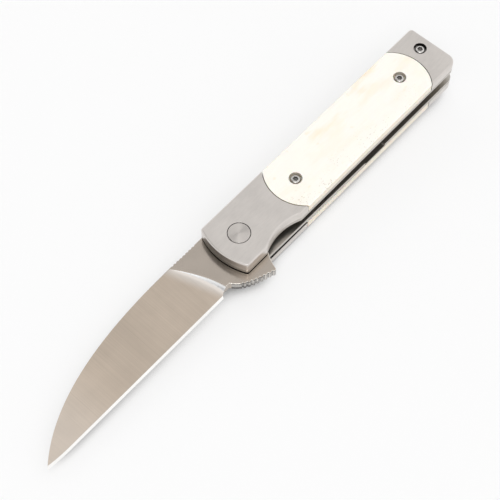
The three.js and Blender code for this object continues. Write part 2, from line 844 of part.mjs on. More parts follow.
// The clip seen from the back: it narrows from its root to the end of its crest.
function clipPlan({ ramp, bow, tail }) {
  const wide = clipRootWidth / 2;
  const narrow = clipTailWidth / 2;
  const corner = clipRootEnd - buttSpineRadius;
  return [
    ...arc(corner, wide - buttSpineRadius, buttSpineRadius, 0, 90),
    new THREE.Vector2(ramp.v0.x, wide),
    new THREE.Vector2(bow.v0.x, narrow),
    ...arc(tail.v2.x + narrow, 0, narrow, 90, 270),
    new THREE.Vector2(bow.v0.x, -narrow),
    new THREE.Vector2(ramp.v0.x, -wide),
    ...arc(corner, buttSpineRadius - wide, buttSpineRadius, -90, 0),
  ];
}

function pocketClip() {
  const curves = clipCurves();
  const deep = coverOuter + clipRise + clipThickness + beyond;
  const strip = prism(clipSide(curves), -clipRootWidth / 2, clipRootWidth / 2).rotateX(Math.PI / 2);
  return cut(
    common(strip, prism(clipPlan(curves), -deep, 0)),
    ...clipScrewPlaces.map((place) => bore(-1, screwShankRadius + screwGap, place, 0, deep)),
  );
}

// Assembly

const finishes = {
  satinSteel: { color: 0xbdb8b2, roughness: 0.38, metalness: 1 },
  bladeSteel: { color: 0xb3a999, roughness: 0.3, metalness: 1 },
  linerSteel: { color: 0xb9b6b1, roughness: 0.42, metalness: 1 },
  polishedSteel: { color: 0xc8c5c0, roughness: 0.2, metalness: 1 },
  darkSteel: { color: 0x6f6c68, roughness: 0.35, metalness: 1 },
  bone: { color: 0xfbf6e8, roughness: 0.45, metalness: 0 },
  brass: { color: 0xb08d4f, roughness: 0.35, metalness: 1 },
};

const knife = new THREE.Group();

function add(name, shape, finish, parent = knife) {
  const mesh = new THREE.Mesh(geometryOf(shape), new THREE.MeshStandardMaterial(finishes[finish]));
  mesh.name = name;
  parent.add(mesh);
  return mesh;
}

// Sets a screw on its seat, with its head facing up (1) or down (-1).
function placeScrew(screw, place, seat, facing) {
  if (facing < 0) screw.rotation.x = Math.PI;
  screw.position.set(place.x, place.y, seat);
}

for (const [side, label] of [[1, "show"], [-1, "back"]]) {
  add(`${label}_front_bolster`, frontBolster(side), "satinSteel");
  add(`${label}_rear_bolster`, rearBolster(side), "satinSteel");
  add(`${label}_bone_scale`, boneScale(side), "bone");
  add(`${label}_liner`, side > 0 ? showLiner() : backLiner(), "linerSteel");
  add(`${label}_bearing`, bearing(side), "brass");

  const seat = coverOuter - scaleScrewSink + layerGap;
  scaleScrewPlaces.forEach((place, i) => {
    const name = `${label}_scale_screw_${["front", "rear"][i]}`;
    const screw = buttonScrew(seat - slotHalf - layerGap);
    placeScrew(add(name, screw, "polishedSteel"), place, side * seat, side);
  });
  bolsterScrewPlaces.forEach((place, i) => {
    const screw = add(`${label}_front_bolster_screw_${i + 1}`, sunkScrew(sunkScrewLength), "darkSteel");
    placeScrew(screw, place, side * slotHalf, -side);
  });
  const rearScrew = add(`${label}_rear_bolster_screw`, sunkScrew(sunkScrewLength), "darkSteel");
  placeScrew(rearScrew, rearScrewPlace, side * slotHalf, -side);
  const spacerFixing = add(`${label}_spacer_screw`, sunkScrew(linerOuter - 2 * layerGap), "darkSteel");
  placeScrew(spacerFixing, spacerScrewPlace, side * linerOuter, side);
}

const buttSeat = coverOuter - buttScrewSink + layerGap;
const buttScrew = add("butt_screw", buttonScrew(buttSeat - layerGap), "polishedSteel");
placeScrew(buttScrew, buttScrewPlace, buttSeat, 1);

const clipSeat = coverOuter + clipThickness + 2 * layerGap;
clipScrewPlaces.forEach((place, i) => {
  const tip = i === 0 ? layerGap : slotHalf + layerGap;
  const screw = add(`clip_screw_${i + 1}`, buttonScrew(clipSeat - tip), "polishedSteel");
  placeScrew(screw, place, -clipSeat, -1);
});

add("backspacer", backspacer(), "linerSteel");
add("stop_pin", stopPin(), "polishedSteel");
add("pivot_barrel", pivotBarrel(), "satinSteel");
add("pivot_screw", pivotScrew(), "satinSteel");
add("pocket_clip", pocketClip(), "satinSteel");
add("blade", blade(), "bladeSteel");

const lock = new THREE.Group();
lock.position.copy(barHinge);
lock.rotation.y = lockAngle();
knife.add(lock);
add("lock_bar", lockBar(), "linerSteel", lock);
const ball = new THREE.SphereGeometry(detentBallRadius, 12, 8);
const detentBall = add("detent_ball", ball, "polishedSteel", lock);
detentBall.position.copy(detentBallCentre());

// The knife is set down so that the box round it stands on Z = 0, centred on the origin.
const bounds = new THREE.Box3().setFromObject(knife, true);
const middle = bounds.getCenter(new THREE.Vector3());
knife.position.set(-middle.x, -middle.y, -bounds.min.z);

export default knife;
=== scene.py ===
"""Dresses the folding pocket knife: satin steel, polished bone, small fasteners and a pale studio."""

import math

import bmesh
import bpy
from bpy.props import FloatProperty, FloatVectorProperty, IntProperty, PointerProperty
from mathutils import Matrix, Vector
from mathutils.bvhtree import BVHTree


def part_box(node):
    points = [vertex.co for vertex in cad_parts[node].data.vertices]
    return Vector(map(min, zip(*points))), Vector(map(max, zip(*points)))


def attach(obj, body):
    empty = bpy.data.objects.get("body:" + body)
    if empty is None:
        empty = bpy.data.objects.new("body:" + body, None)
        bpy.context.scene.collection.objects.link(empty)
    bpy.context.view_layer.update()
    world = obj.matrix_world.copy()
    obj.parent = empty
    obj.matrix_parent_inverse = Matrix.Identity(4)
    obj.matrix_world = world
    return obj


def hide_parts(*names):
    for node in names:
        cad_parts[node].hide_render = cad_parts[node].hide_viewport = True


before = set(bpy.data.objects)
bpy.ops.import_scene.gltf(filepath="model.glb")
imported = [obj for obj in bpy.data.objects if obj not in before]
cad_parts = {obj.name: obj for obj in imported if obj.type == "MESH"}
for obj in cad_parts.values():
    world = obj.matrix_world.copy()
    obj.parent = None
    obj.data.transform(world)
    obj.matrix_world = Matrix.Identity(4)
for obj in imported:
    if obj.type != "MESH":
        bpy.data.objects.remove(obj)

bl_info = {
    "name": "Folding pocket knife",
    "version": (1, 0, 0),
    "blender": (4, 5, 0),
    "location": "View3D > Sidebar > Knife",
    "description": "Finishes the knife's steel, bone and fasteners and sets up its studio",
    "category": "Object",
}

MM = 0.001
FULL_TURN = 2 * math.pi
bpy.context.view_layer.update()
PIVOT_LOW, PIVOT_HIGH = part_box("pivot_barrel")
PIVOT = Vector(((PIVOT_LOW.x + PIVOT_HIGH.x) / 2, (PIVOT_LOW.y + PIVOT_HIGH.y) / 2, PIVOT_HIGH.z))
BLADE_LOW, BLADE_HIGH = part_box("blade")
BLADE_MIDDLE = (BLADE_LOW.z + BLADE_HIGH.z) / 2
# The plunge, where the grind ends, lies where x + PLUNGE_SLANT * y is about PLUNGE_LINE.
PLUNGE_SLANT = 0.34
PLUNGE_LINE = -18.7 * MM
HANDLE_BODY = "handle"
MERGE = 0.001 * MM  # points nearer than this are one point
SLIGHT = math.radians(1.0)  # two faces that meet at less than this are one face
LEAST_EASING = 0.03 * MM  # an edge that has room for less than this stays crisp
TOUCH = 0.1 * MM  # an edge nearer than this to the bone is fitted against it
SCREW_STEPS = 96  # facets round a button-head screw
PIVOT_STEPS = 128  # facets round the pivot's head
FLOOR_REACH = 3.0  # metres from the floor's middle to its edges
TANG, GROUND, SHARP, GROOVED, HIGHLIGHTED = range(5)  # the blade's materials
SHOW, BACK = 1, -1  # the side that a fastener's head faces


# Settings

def easing(name, description, default):
    return FloatProperty(name=name, description=description, default=default, min=0.0, unit="LENGTH")


def tint(name, description, default):
    return FloatVectorProperty(
        name=name, description=description, default=default, size=3, subtype="COLOR", min=0, max=1
    )


def share(name, description, default):
    return FloatProperty(
        name=name, description=description, default=default, subtype="FACTOR", min=0, max=1
    )


def level(name, description, default):
    return FloatProperty(name=name, description=description, default=default)


class KnifeEdges(bpy.types.PropertyGroup):
    """How far the edges of each piece are eased."""

    bolster: easing("Bolster edges", "Rounding of the bolsters' edges", 0.1 * MM)
    bone: easing("Bone edges", "Rounding of the bone scales' edges", 0.07 * MM)
    liner: easing("Liner edges", "Rounding of the liners' and the lock bar's edges", 0.05 * MM)
    tang: easing("Tang edges", "Rounding of the tang's, spine's and flipper tab's edges", 0.13 * MM)
    clip: easing("Clip edges", "Rounding of the pocket clip's edges", 0.12 * MM)
    segments: IntProperty(
        name="Rounding segments", description="Steps in each rounded edge", default=2, min=1
    )


class KnifeFinish(bpy.types.PropertyGroup):
    """Colours and roughness of the knife's materials."""

    bolster: tint("Bolster steel", "Colour of the satin bolsters", (0.685, 0.645, 0.61))
    ground: tint("Ground steel", "Colour of the blade's ground faces", (0.56, 0.473, 0.39))
    tang: tint("Tang steel", "Colour of the blade's tang and flipper tab", (0.515, 0.455, 0.395))
    grooved: tint("Grooved steel", "Colour of the flipper tab's grooved front", (0.48, 0.46, 0.435))
    # a painted highlight: a brighter copy of the tang's steel on its eased corners
    highlighted: tint("Highlighted steel", "Colour of the tang's rubbed corners", (0.86, 0.82, 0.765))
    edge: tint("Sharpened steel", "Colour of the edge bevel", (0.90, 0.89, 0.87))
    liner: tint("Liner steel", "Colour of the liners, lock bar and backspacer", (0.52, 0.49, 0.45))
    screw: tint("Screw steel", "Colour of the screws and pins", (0.62, 0.60, 0.58))
    bone: tint("Bone", "Colour of clean polished bone", (0.99, 0.95, 0.87))
    amber: tint("Bone stain", "Colour of the amber stains in the bone", (0.96, 0.85, 0.68))
    pore: tint("Bone pores", "Colour of the specks and pores in the bone", (0.46, 0.36, 0.25))
    cage: tint("Bearing cage", "Colour of the bearings' cages", (0.60, 0.44, 0.20))
    satin: share("Satin roughness", "Roughness of the satin steel", 0.3)
    polish: share("Polished roughness", "Roughness of the tang, the sharpened edge and the screws", 0.17)


class KnifeStudio(bpy.types.PropertyGroup):
    """The camera and the light."""

    lens: FloatProperty(
        name="Lens", description="Focal length on a 36 mm sensor", default=104.4, unit="CAMERA"
    )
    pitch: FloatProperty(
        name="Pitch", description="How far the camera looks down", default=math.radians(60.7),
        subtype="ANGLE",
    )
    heading: FloatProperty(
        name="Heading", description="The camera's heading, from +X", default=math.radians(41.67),
        subtype="ANGLE",
    )
    reach: FloatVectorProperty(
        name="Camera place", description="Place of the camera from the pivot's head",
        default=(-0.1577, -0.1447, 0.371), size=3, subtype="TRANSLATION",
    )
    shade: level("Shaded ceiling", "Brightness of the ceiling that the flat faces mirror", 0.8)
    flag: level("Flags", "Brightness of the dark flags", 0.08)
    window: level("Window", "Brightness of the low window at the right", 1.0)
    lamp: level("Lamp", "Brightness of the small lamp behind the camera", 5.0)
    overhead: level("Overhead", "Brightness of the ceiling right overhead", 1.3)
    ceiling: level("Ceiling", "Brightness of the rest of the ceiling", 1.1)
    walls: level("Walls", "Brightness of the room near the floor", 0.75)
    softbox: FloatProperty(name="Softbox", description="Power of the softbox", default=0.4, unit="POWER")
    softbox_place: FloatVectorProperty(
        name="Softbox place", description="Place of the softbox from the pivot's head",
        default=(-0.13, -0.08, 0.64), size=3, subtype="TRANSLATION",
    )


# Nodes and materials

class Sheet:
    """A node tree that is filled by naming nodes, their settings and what feeds them."""

    def __init__(self, tree):
        self.tree = tree

    def add(self, kind, settings=None, **inputs):
        """Adds a node. An underscore in the name of an input stands for a space."""
        node = self.tree.nodes.new(kind)
        for name, value in (settings or {}).items():
            setattr(node, name, value)
        for name, value in inputs.items():
            self.feed(node, name.replace("_", " "), value)
        return node

    def feed(self, node, name, value):
        """Feeds a node's input, told by its name or number, with a value or from another node."""
        socket = node.inputs[int(name)] if name.isdigit() else node.inputs[name]
        if isinstance(value, bpy.types.NodeSocket):
            self.tree.links.new(value, socket)
        elif isinstance(value, tuple) and len(value) == 3 and socket.type == "RGBA":
            socket.default_value = (*value, 1.0)
        else:
            socket.default_value = value

    def maths(self, operation, first, second=0.5, clamp=False):
        node = self.add("ShaderNodeMath", {"operation": operation, "use_clamp": clamp})
        self.feed(node, "0", first)
        self.feed(node, "1", second)
        return node.outputs[0]

    def vector(self, operation, first, second, result="Vector"):
        node = self.add("ShaderNodeVectorMath", {"operation": operation})
        self.feed(node, "0", first)
        self.feed(node, "1", second)
        return node.outputs[result]

    def effect(self, tree, **inputs):
        """Places one of the shared node groups, with values of its own."""
        return self.add("ShaderNodeGroup", {"node_tree": tree}, **inputs)

    def mix(self, share_of_second, first, second, blend="MIX"):
        """Mixes two colours."""
        node = self.add("ShaderNodeMix", {"data_type": "RGBA", "blend_type": blend})
        for socket, value in zip((0, 6, 7), (share_of_second, first, second)):
            if isinstance(value, bpy.types.NodeSocket):
                self.tree.links.new(value, node.inputs[socket])
            else:
                node.inputs[socket].default_value = (*value, 1.0) if isinstance(value, tuple) else value
        return node.outputs[2]

    def ramp(self, value, low, high, to_low=0.0, to_high=1.0):
        """Passes smoothly from to_low to to_high while the value goes from low to high."""
        node = self.add("ShaderNodeMapRange", {"interpolation_type": "SMOOTHSTEP"}, Value=value)
        limits = {"From Min": low, "From Max": high, "To Min": to_low, "To Max": to_high}
        for name, amount in limits.items():
            self.feed(node, name, amount)
        return node.outputs["Result"]

    def noise(self, place, scale, detail=2.0, roughness=0.5):
        node = self.add("ShaderNodeTexNoise", Vector=place, Scale=scale, Detail=detail, Roughness=roughness)
        return node.outputs["Fac"]

    def stretched_noise(self, place, stretch, detail=2.0, roughness=0.5):
        return self.noise(self.vector("MULTIPLY", place, stretch), 1.0, detail, roughness)


def group(name, inputs, outputs, fill):
    """Makes a node group once, and returns the one that is there after that.

    Inputs are (label, socket, default) and outputs (label, socket). `fill` adds the nodes, and returns what
    feeds each output.
    """
    tree = bpy.data.node_groups.get(name)
    if tree:
        return tree
    tree = bpy.data.node_groups.new(name, "ShaderNodeTree")
    for label, socket, default in inputs:
        made = tree.interface.new_socket(label, in_out="INPUT", socket_type=socket)
        if default is not None:
            made.default_value = default
    for label, socket in outputs:
        tree.interface.new_socket(label, in_out="OUTPUT", socket_type=socket)
    sheet = Sheet(tree)
    entry = tree.nodes.new("NodeGroupInput")
    leave = tree.nodes.new("NodeGroupOutput")
    for label, socket in fill(sheet, entry.outputs).items():
        tree.links.new(socket, leave.inputs[label])
    return tree


FLOAT = "NodeSocketFloat"
VECTOR = "NodeSocketVector"

# How fine a steel's brushing is along X, Y and Z, per metre
FINE = (2500.0, 2500.0, 2500.0)
BOLSTER_BRUSHING = (500.0, 3600.0, 3600.0)
TANG_BRUSHING = (900.0, 9000.0, 6000.0)
GROUND_BRUSHING = (7000.0, 60.0, 60.0)
EDGE_BRUSHING = (6000.0, 900.0, 900.0)
LINER_BRUSHING = (900.0, 6000.0, 6000.0)
CLIP_BRUSHING = (900.0, 7000.0, 4000.0)
PIN_BRUSHING = (2000.0, 2000.0, 2000.0)
CAGE_BRUSHING = (900.0, 900.0, 900.0)

# Colours that are not among the settings
# painted shade inside a piece's own grooves
RECESS_SHADE = (0.05, 0.045, 0.04)
# painted shade in the gaps between pieces
GAP_SHADE = (0.05, 0.047, 0.043)
# painted shade on the flipper tab's front
TAB_SHADE = (0.07, 0.065, 0.06)
# painted highlight on the blade's plunge and towards its tip
GLOW_STEEL = (0.92, 0.93, 0.94)
# painted reflection: dims the ground face at mid-length
DIM_REFLECTION_STEEL = (0.28, 0.235, 0.19)
# painted shade on the counterbore walls round the butt screw and the pivot
BORE_SHADE = (0.04, 0.038, 0.036)
SUNK_STEEL = (0.3, 0.29, 0.28)
# sawn bone's amber, with painted shade for the side walls
SAWN_SHADED_BONE = (0.84, 0.745, 0.605)
# painted shade in the seams beside the bone
BONE_SEAM_SHADE = (0.36, 0.26, 0.15)
# painted shade in the bone's counterbores
BONE_BORE_SHADE = ((0.46, 0.41, 0.34), (0.62, 0.57, 0.50))


def grain_group():
    """Streaks that a belt or a brush leaves: long along one direction and fine across it."""

    def fill(sheet, given):
        stretched = sheet.vector("MULTIPLY", given["Place"], given["Stretch"])
        fine = sheet.noise(stretched, 1.0, 0.0)
        broad = sheet.noise(sheet.vector("MULTIPLY", stretched, (0.4, 0.4, 0.4)), 1.0, 0.0)
        both = sheet.maths("ADD", sheet.maths("MULTIPLY", fine, 0.6), sheet.maths("MULTIPLY", broad, 0.4))
        centred = sheet.maths("SUBTRACT", both, 0.5)
        return {
            "Tone": sheet.maths("ADD", sheet.maths("MULTIPLY", centred, given["Tone depth"]), 1.0),
            "Roughness": sheet.maths("MULTIPLY", centred, given["Roughness depth"]),
            "Height": both,
        }

    return group(
        "Brushed grain",
        [("Place", VECTOR, None), ("Stretch", VECTOR, (1e3, 1e4, 1e3)),
         ("Tone depth", FLOAT, 0.2), ("Roughness depth", FLOAT, 0.2)],
        [("Tone", FLOAT), ("Roughness", FLOAT), ("Height", FLOAT)],
        fill,
    )


def worn_edge_highlight_group():
    """A mask that is 1 on a piece's edges and breaks up along them: worn edges with a painted highlight."""

    def fill(sheet, given):
        eased = sheet.add("ShaderNodeBevel", {"samples": 4}, Radius=given["Radius"]).outputs["Normal"]
        plain = sheet.add("ShaderNodeNewGeometry").outputs["Normal"]
        alike = sheet.vector("DOT_PRODUCT", eased, plain, "Value")
        edge = sheet.ramp(alike, 0.999, 0.9)
        patches = sheet.ramp(sheet.noise(given["Place"], 900.0, 3.0), 0.3, 0.7, 0.45, 1.0)
        return {"Mask": sheet.maths("MULTIPLY", edge, sheet.maths("MULTIPLY", patches, given["Amount"]))}

    return group(
        "Worn edge highlight",
        [("Place", VECTOR, None), ("Radius", FLOAT, 0.1 * MM), ("Amount", FLOAT, 0.5)],
        [("Mask", FLOAT)],
        fill,
    )


def occlusion_shade_group(own=True):
    """A painted-shade mask: 1 deep in a piece's own grooves, or in gaps between pieces, where shade falls.
    """

    def fill(sheet, given):
        open_air = sheet.add("ShaderNodeAmbientOcclusion", {"samples": 6, "only_local": own})
        sheet.feed(open_air, "Distance", given["Reach"])
        shut = sheet.ramp(open_air.outputs["AO"], given["Open"], given["Shut"])
        return {"Mask": sheet.maths("MULTIPLY", shut, given["Amount"])}

    return group(
        "Recess shade" if own else "Gap shade",
        [("Reach", FLOAT, 0.4 * MM), ("Amount", FLOAT, 0.5), ("Open", FLOAT, 0.95), ("Shut", FLOAT, 0.65)],
        [("Mask", FLOAT)],
        fill,
    )


def new_material(name, **constants):
    """The start of a material: its shader, with the values that are the same all over, and its place."""
    material = bpy.data.materials.new(name)
    material.use_nodes = True
    sheet = Sheet(material.node_tree)
    shader = material.node_tree.nodes["Principled BSDF"]
    for label, value in constants.items():
        sheet.feed(shader, label.replace("_", " "), value)
    place = sheet.add("ShaderNodeTexCoord").outputs["Object"]
    return material, sheet, shader, place


def plunge_glow_mask(sheet, place, amount):
    """A mask of the painted highlight on the rounded plunge, fading out over the ground face beside it."""
    normal = sheet.add("ShaderNodeNewGeometry").outputs["Normal"]
    lean = sheet.add("ShaderNodeSeparateXYZ", Vector=normal).outputs["X"]
    # painted highlight where the plunge's rounding leans away
    polished = sheet.maths("MULTIPLY", sheet.ramp(lean, -0.05, -0.4), amount)
    spot = sheet.add("ShaderNodeSeparateXYZ", Vector=place).outputs
    along = sheet.maths("ADD", spot["X"], sheet.maths("MULTIPLY", spot["Y"], PLUNGE_SLANT))
    faded = sheet.ramp(along, PLUNGE_LINE - 4 * MM, PLUNGE_LINE, 0.0, 0.4)
    return sheet.maths("MAXIMUM", polished, faded)


def painted_ground_reflection(sheet, place, shown):
    """A painted reflection on the ground face: a little darker mid-length, brighter towards its tip."""
    length = sheet.add("ShaderNodeSeparateXYZ", Vector=place).outputs["X"]
    dimmed = sheet.ramp(length, -28 * MM, -48 * MM, 0.0, 0.16)
    dimmed = sheet.maths("MULTIPLY", dimmed, sheet.ramp(length, -66 * MM, -54 * MM))
    brightened = sheet.ramp(length, -60 * MM, -82 * MM, 0.0, 0.13)
    return sheet.mix(brightened, sheet.mix(dimmed, shown, DIM_REFLECTION_STEEL), GLOW_STEEL)


def steel(
    name, colour, roughness, stretch, tone=0.16, bump=1.0, wear_and_highlight=0.5, anisotropy=0.0, waves=0.0, recess_shade=0.0,
    reach=0.45 * MM, gaps=0.0, gap_reach=4 * MM, gap_open=0.5, plunge=0.0, corner=0.0,
):
    """Brushed steel, which each piece gets with its own colour, brushing, worn edges and painted highlights.

    Painted shade darkens the piece's own grooves within `reach`, and the gaps between pieces. `waves` is
    the swell that grinding leaves and `corner` rounds corners in the light. `plunge` is for the blade's
    ground faces: it paints a highlight on their plunge and a reflection varying their tone along the blade.
    """
    material, sheet, shader, place = new_material(name, Metallic=1.0, Anisotropic=anisotropy)
    grain = sheet.effect(grain_group(), Place=place, Stretch=stretch, Tone_depth=tone, Roughness_depth=0.08)
    worn_and_highlighted = sheet.effect(worn_edge_highlight_group(), Place=place, Radius=0.18 * MM, Amount=wear_and_highlight)
    patches = sheet.ramp(sheet.noise(place, 140.0, 2.0), 0.3, 0.7, 0.97, 1.03)
    shade = sheet.maths("MULTIPLY", grain.outputs["Tone"], patches)
    toned = sheet.mix(1.0, colour, shade, "MULTIPLY")
    # painted highlight: the worn edges take a brighter copy of the colour
    bright = tuple(min(1.0, 1.35 * part) for part in colour)
    shown = sheet.mix(worn_and_highlighted.outputs["Mask"], toned, bright)
    # painted highlight on the plunge and painted reflection along the ground face
    if plunge:
        shown = sheet.mix(plunge_glow_mask(sheet, place, plunge), shown, GLOW_STEEL)
        shown = painted_ground_reflection(sheet, place, shown)
    # painted shade: darkens the piece's own grooves where ambient occlusion finds shade
    if recess_shade:
        recess_shaded = sheet.effect(occlusion_shade_group(), Reach=reach, Amount=recess_shade)
        shown = sheet.mix(recess_shaded.outputs["Mask"], shown, RECESS_SHADE)
    # painted shade: darkens the gaps between pieces where ambient occlusion finds shade
    if gaps:
        gap_shaded = sheet.effect(occlusion_shade_group(own=False), Reach=gap_reach, Amount=gaps)
        sheet.feed(gap_shaded, "Open", gap_open)
        sheet.feed(gap_shaded, "Shut", gap_open - 0.35)
        shown = sheet.mix(gap_shaded.outputs["Mask"], shown, GAP_SHADE)
    sheet.feed(shader, "Base Color", shown)
    rough = sheet.maths("ADD", grain.outputs["Roughness"], roughness)
    rough = sheet.maths("SUBTRACT", rough, sheet.maths("MULTIPLY", worn_and_highlighted.outputs["Mask"], 0.08), clamp=True)
    sheet.feed(shader, "Roughness", rough)
    relief = sheet.add("ShaderNodeBump", Strength=0.35, Distance=0.0015 * MM * bump)
    sheet.feed(relief, "Height", grain.outputs["Height"])
    if waves:
        swell = sheet.stretched_noise(place, (110.0, 45.0, 45.0), 1.0)
        broad = sheet.add("ShaderNodeBump", Strength=1.0, Distance=0.06 * MM * waves, Height=swell)
        sheet.feed(relief, "Normal", broad.outputs["Normal"])
    elif corner:
        broken = sheet.add("ShaderNodeBevel", {"samples": 8}, Radius=corner)
        sheet.feed(relief, "Normal", broken.outputs["Normal"])
    sheet.feed(shader, "Normal", relief.outputs["Normal"])
    if anisotropy:
        around = sheet.add("ShaderNodeTangent", {"direction_type": "RADIAL", "axis": "Z"})
        shader.inputs["Anisotropic Rotation"].default_value = 0.25
        sheet.feed(shader, "Tangent", around.outputs["Tangent"])
    return material


def grooved_material(finish):
    """Tab front steel: painted highlights on its ridges, painted shade under its rim and on its lower half.
    """
    material = steel(
        "Grooved steel", tuple(finish.grooved), 0.28, FINE, tone=0.08, wear_and_highlight=0.95, recess_shade=0.95,
        corner=0.2 * MM,
    )
    sheet = Sheet(material.node_tree)
    shader = material.node_tree.nodes["Principled BSDF"]
    bare = shader.inputs["Base Color"].links[0].from_socket
    place = sheet.add("ShaderNodeTexCoord").outputs["Object"]
    spot = sheet.add("ShaderNodeSeparateXYZ", Vector=place).outputs
    # painted shade: darker low down near the tab's root, and in a band just under its rim
    root = sheet.ramp(spot["X"], PIVOT.x - 4 * MM, PIVOT.x - 9 * MM)
    low = sheet.ramp(spot["Z"], BLADE_MIDDLE, BLADE_LOW.z + 0.6 * MM, 0.0, 0.9)
    under_rim = sheet.ramp(spot["Z"], BLADE_HIGH.z - 0.75 * MM, BLADE_HIGH.z - 0.35 * MM, 0.0, 0.8)
    painted_tab_shade = sheet.maths("MAXIMUM", sheet.maths("MULTIPLY", root, low), under_rim)
    sheet.feed(shader, "Base Color", sheet.mix(painted_tab_shade, bare, TAB_SHADE))
    return material


def bone_material(finish):
    """Polished bone: creamy, with amber stains, fine fibres along its length and dark pores."""
    material, sheet, shader, place = new_material(
        "Polished bone", Coat_Weight=0.25, Coat_Roughness=0.12, Subsurface_Weight=0.12,
        Subsurface_Scale=1.2 * MM,
    )
    fibres = sheet.effect(
        grain_group(), Place=place, Stretch=(260.0, 2600.0, 2600.0), Tone_depth=0.05, Roughness_depth=0.12
    )

    low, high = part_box("show_bone_scale")
    split = sheet.add("ShaderNodeSeparateXYZ", Vector=place).outputs
    spine_side = sheet.ramp(split["Y"], low.y + 0.45 * (high.y - low.y), high.y, 0.25, 1.0)
    clouds = sheet.stretched_noise(place, (52.0, 150.0, 150.0), 3.0, 0.6)
    stains = sheet.maths("MULTIPLY", sheet.ramp(clouds, 0.46, 0.66), spine_side)
    blots = sheet.ramp(sheet.stretched_noise(place, (230.0, 330.0, 330.0)), 0.66, 0.76)
    stains = sheet.maths("MAXIMUM", stains, sheet.maths("MULTIPLY", blots, 0.6))
    coloured = sheet.mix(stains, tuple(finish.bone), tuple(finish.amber))

    edge_side = sheet.ramp(split["Y"], low.y + 0.5 * (high.y - low.y), low.y)
    frontward = sheet.ramp(split["X"], high.x, low.x + 0.4 * (high.x - low.x), 0.15, 1.0)
    beds = sheet.ramp(sheet.stretched_noise(place, (120.0, 260.0, 260.0)), 0.42, 0.6)
    beds = sheet.maths("MULTIPLY", beds, sheet.maths("MULTIPLY", edge_side, frontward))
    stretched = sheet.vector("MULTIPLY", place, (1100.0, 1900.0, 1900.0))
    cells = sheet.add("ShaderNodeTexVoronoi", Vector=stretched, Scale=1.0).outputs["Distance"]
    specks = sheet.maths("MULTIPLY", sheet.ramp(cells, 0.3, 0.12), beds)
    coloured = sheet.mix(sheet.maths("MULTIPLY", specks, 0.75), coloured, tuple(finish.pore))

    # side walls: amber sawn bone, darkened as painted shade on those sides
    normal = sheet.add("ShaderNodeNewGeometry").outputs["True Normal"]
    upright = sheet.maths("ABSOLUTE", sheet.add("ShaderNodeSeparateXYZ", Vector=normal).outputs["Z"])
    sawn_and_shaded = sheet.ramp(upright, 0.5, 0.1, 0.0, 0.8)
    coloured = sheet.mix(sawn_and_shaded, coloured, SAWN_SHADED_BONE)
    # painted shade: a warm brown line in the seams and gaps beside the bone
    gap_shaded = sheet.effect(occlusion_shade_group(own=False), Reach=0.4 * MM, Amount=0.85)
    coloured = sheet.mix(gap_shaded.outputs["Mask"], coloured, BONE_SEAM_SHADE)
    sheet.feed(shader, "Base Color", sheet.mix(1.0, coloured, fibres.outputs["Tone"], "MULTIPLY"))

    rough = sheet.maths("ADD", fibres.outputs["Roughness"], 0.36)
    rough = sheet.maths("ADD", rough, sheet.maths("MULTIPLY", specks, 0.3), clamp=True)
    sheet.feed(shader, "Roughness", rough)
    height = sheet.maths("SUBTRACT", sheet.maths("MULTIPLY", fibres.outputs["Height"], 0.25), specks)
    relief = sheet.add("ShaderNodeBump", Strength=0.5, Distance=0.02 * MM, Height=height)
    sheet.feed(shader, "Normal", relief.outputs["Normal"])
    return material


def bone_bore_shade_material():
    """Bone in the screws' counterbores: painted grey-brown shade, with fine rings from the drill."""
    material, sheet, shader, place = new_material("Bone bore shade", Roughness=0.6)
    rings = sheet.stretched_noise(place, (600.0, 600.0, 9000.0))
    sheet.feed(shader, "Base Color", sheet.mix(rings, *BONE_BORE_SHADE))
    return material


def cage_material(finish):
    """Bronze of the bearing cages."""
    return steel("Cage bronze", tuple(finish.cage), 0.34, CAGE_BRUSHING, tone=0.3)


# Shapes

def edge_key(first, second):
    """Names an edge by its two ends, to the nearest micrometre."""
    return frozenset(tuple(round(part / MM, 3) for part in end) for end in (first, second))


def corner_widths(mesh, width_at, least):
    """How far each corner of a CAD mesh is eased, with 0 where it stays crisp.

    The mesh's faces share no vertices, so they are joined first. A corner beside facets that are too narrow
    for the rounding stays crisp too.
    """
    joined = bmesh.new()
    joined.from_mesh(mesh)
    bmesh.ops.remove_doubles(joined, verts=joined.verts, dist=MERGE)
    turns = {edge: edge.calc_face_angle(0.0) for edge in joined.edges}
    widths = {}
    for edge, turn in turns.items():
        if turn > least:
            beside = [other for end in edge.verts for other in end.link_edges if turns[other] > SLIGHT]
            room = 0.45 * min(other.calc_length() for other in beside)
            width = min(width_at(edge, turn), room)
            widths[edge_key(edge.verts[0].co, edge.verts[1].co)] = width if width > LEAST_EASING else 0.0
    joined.free()
    return widths


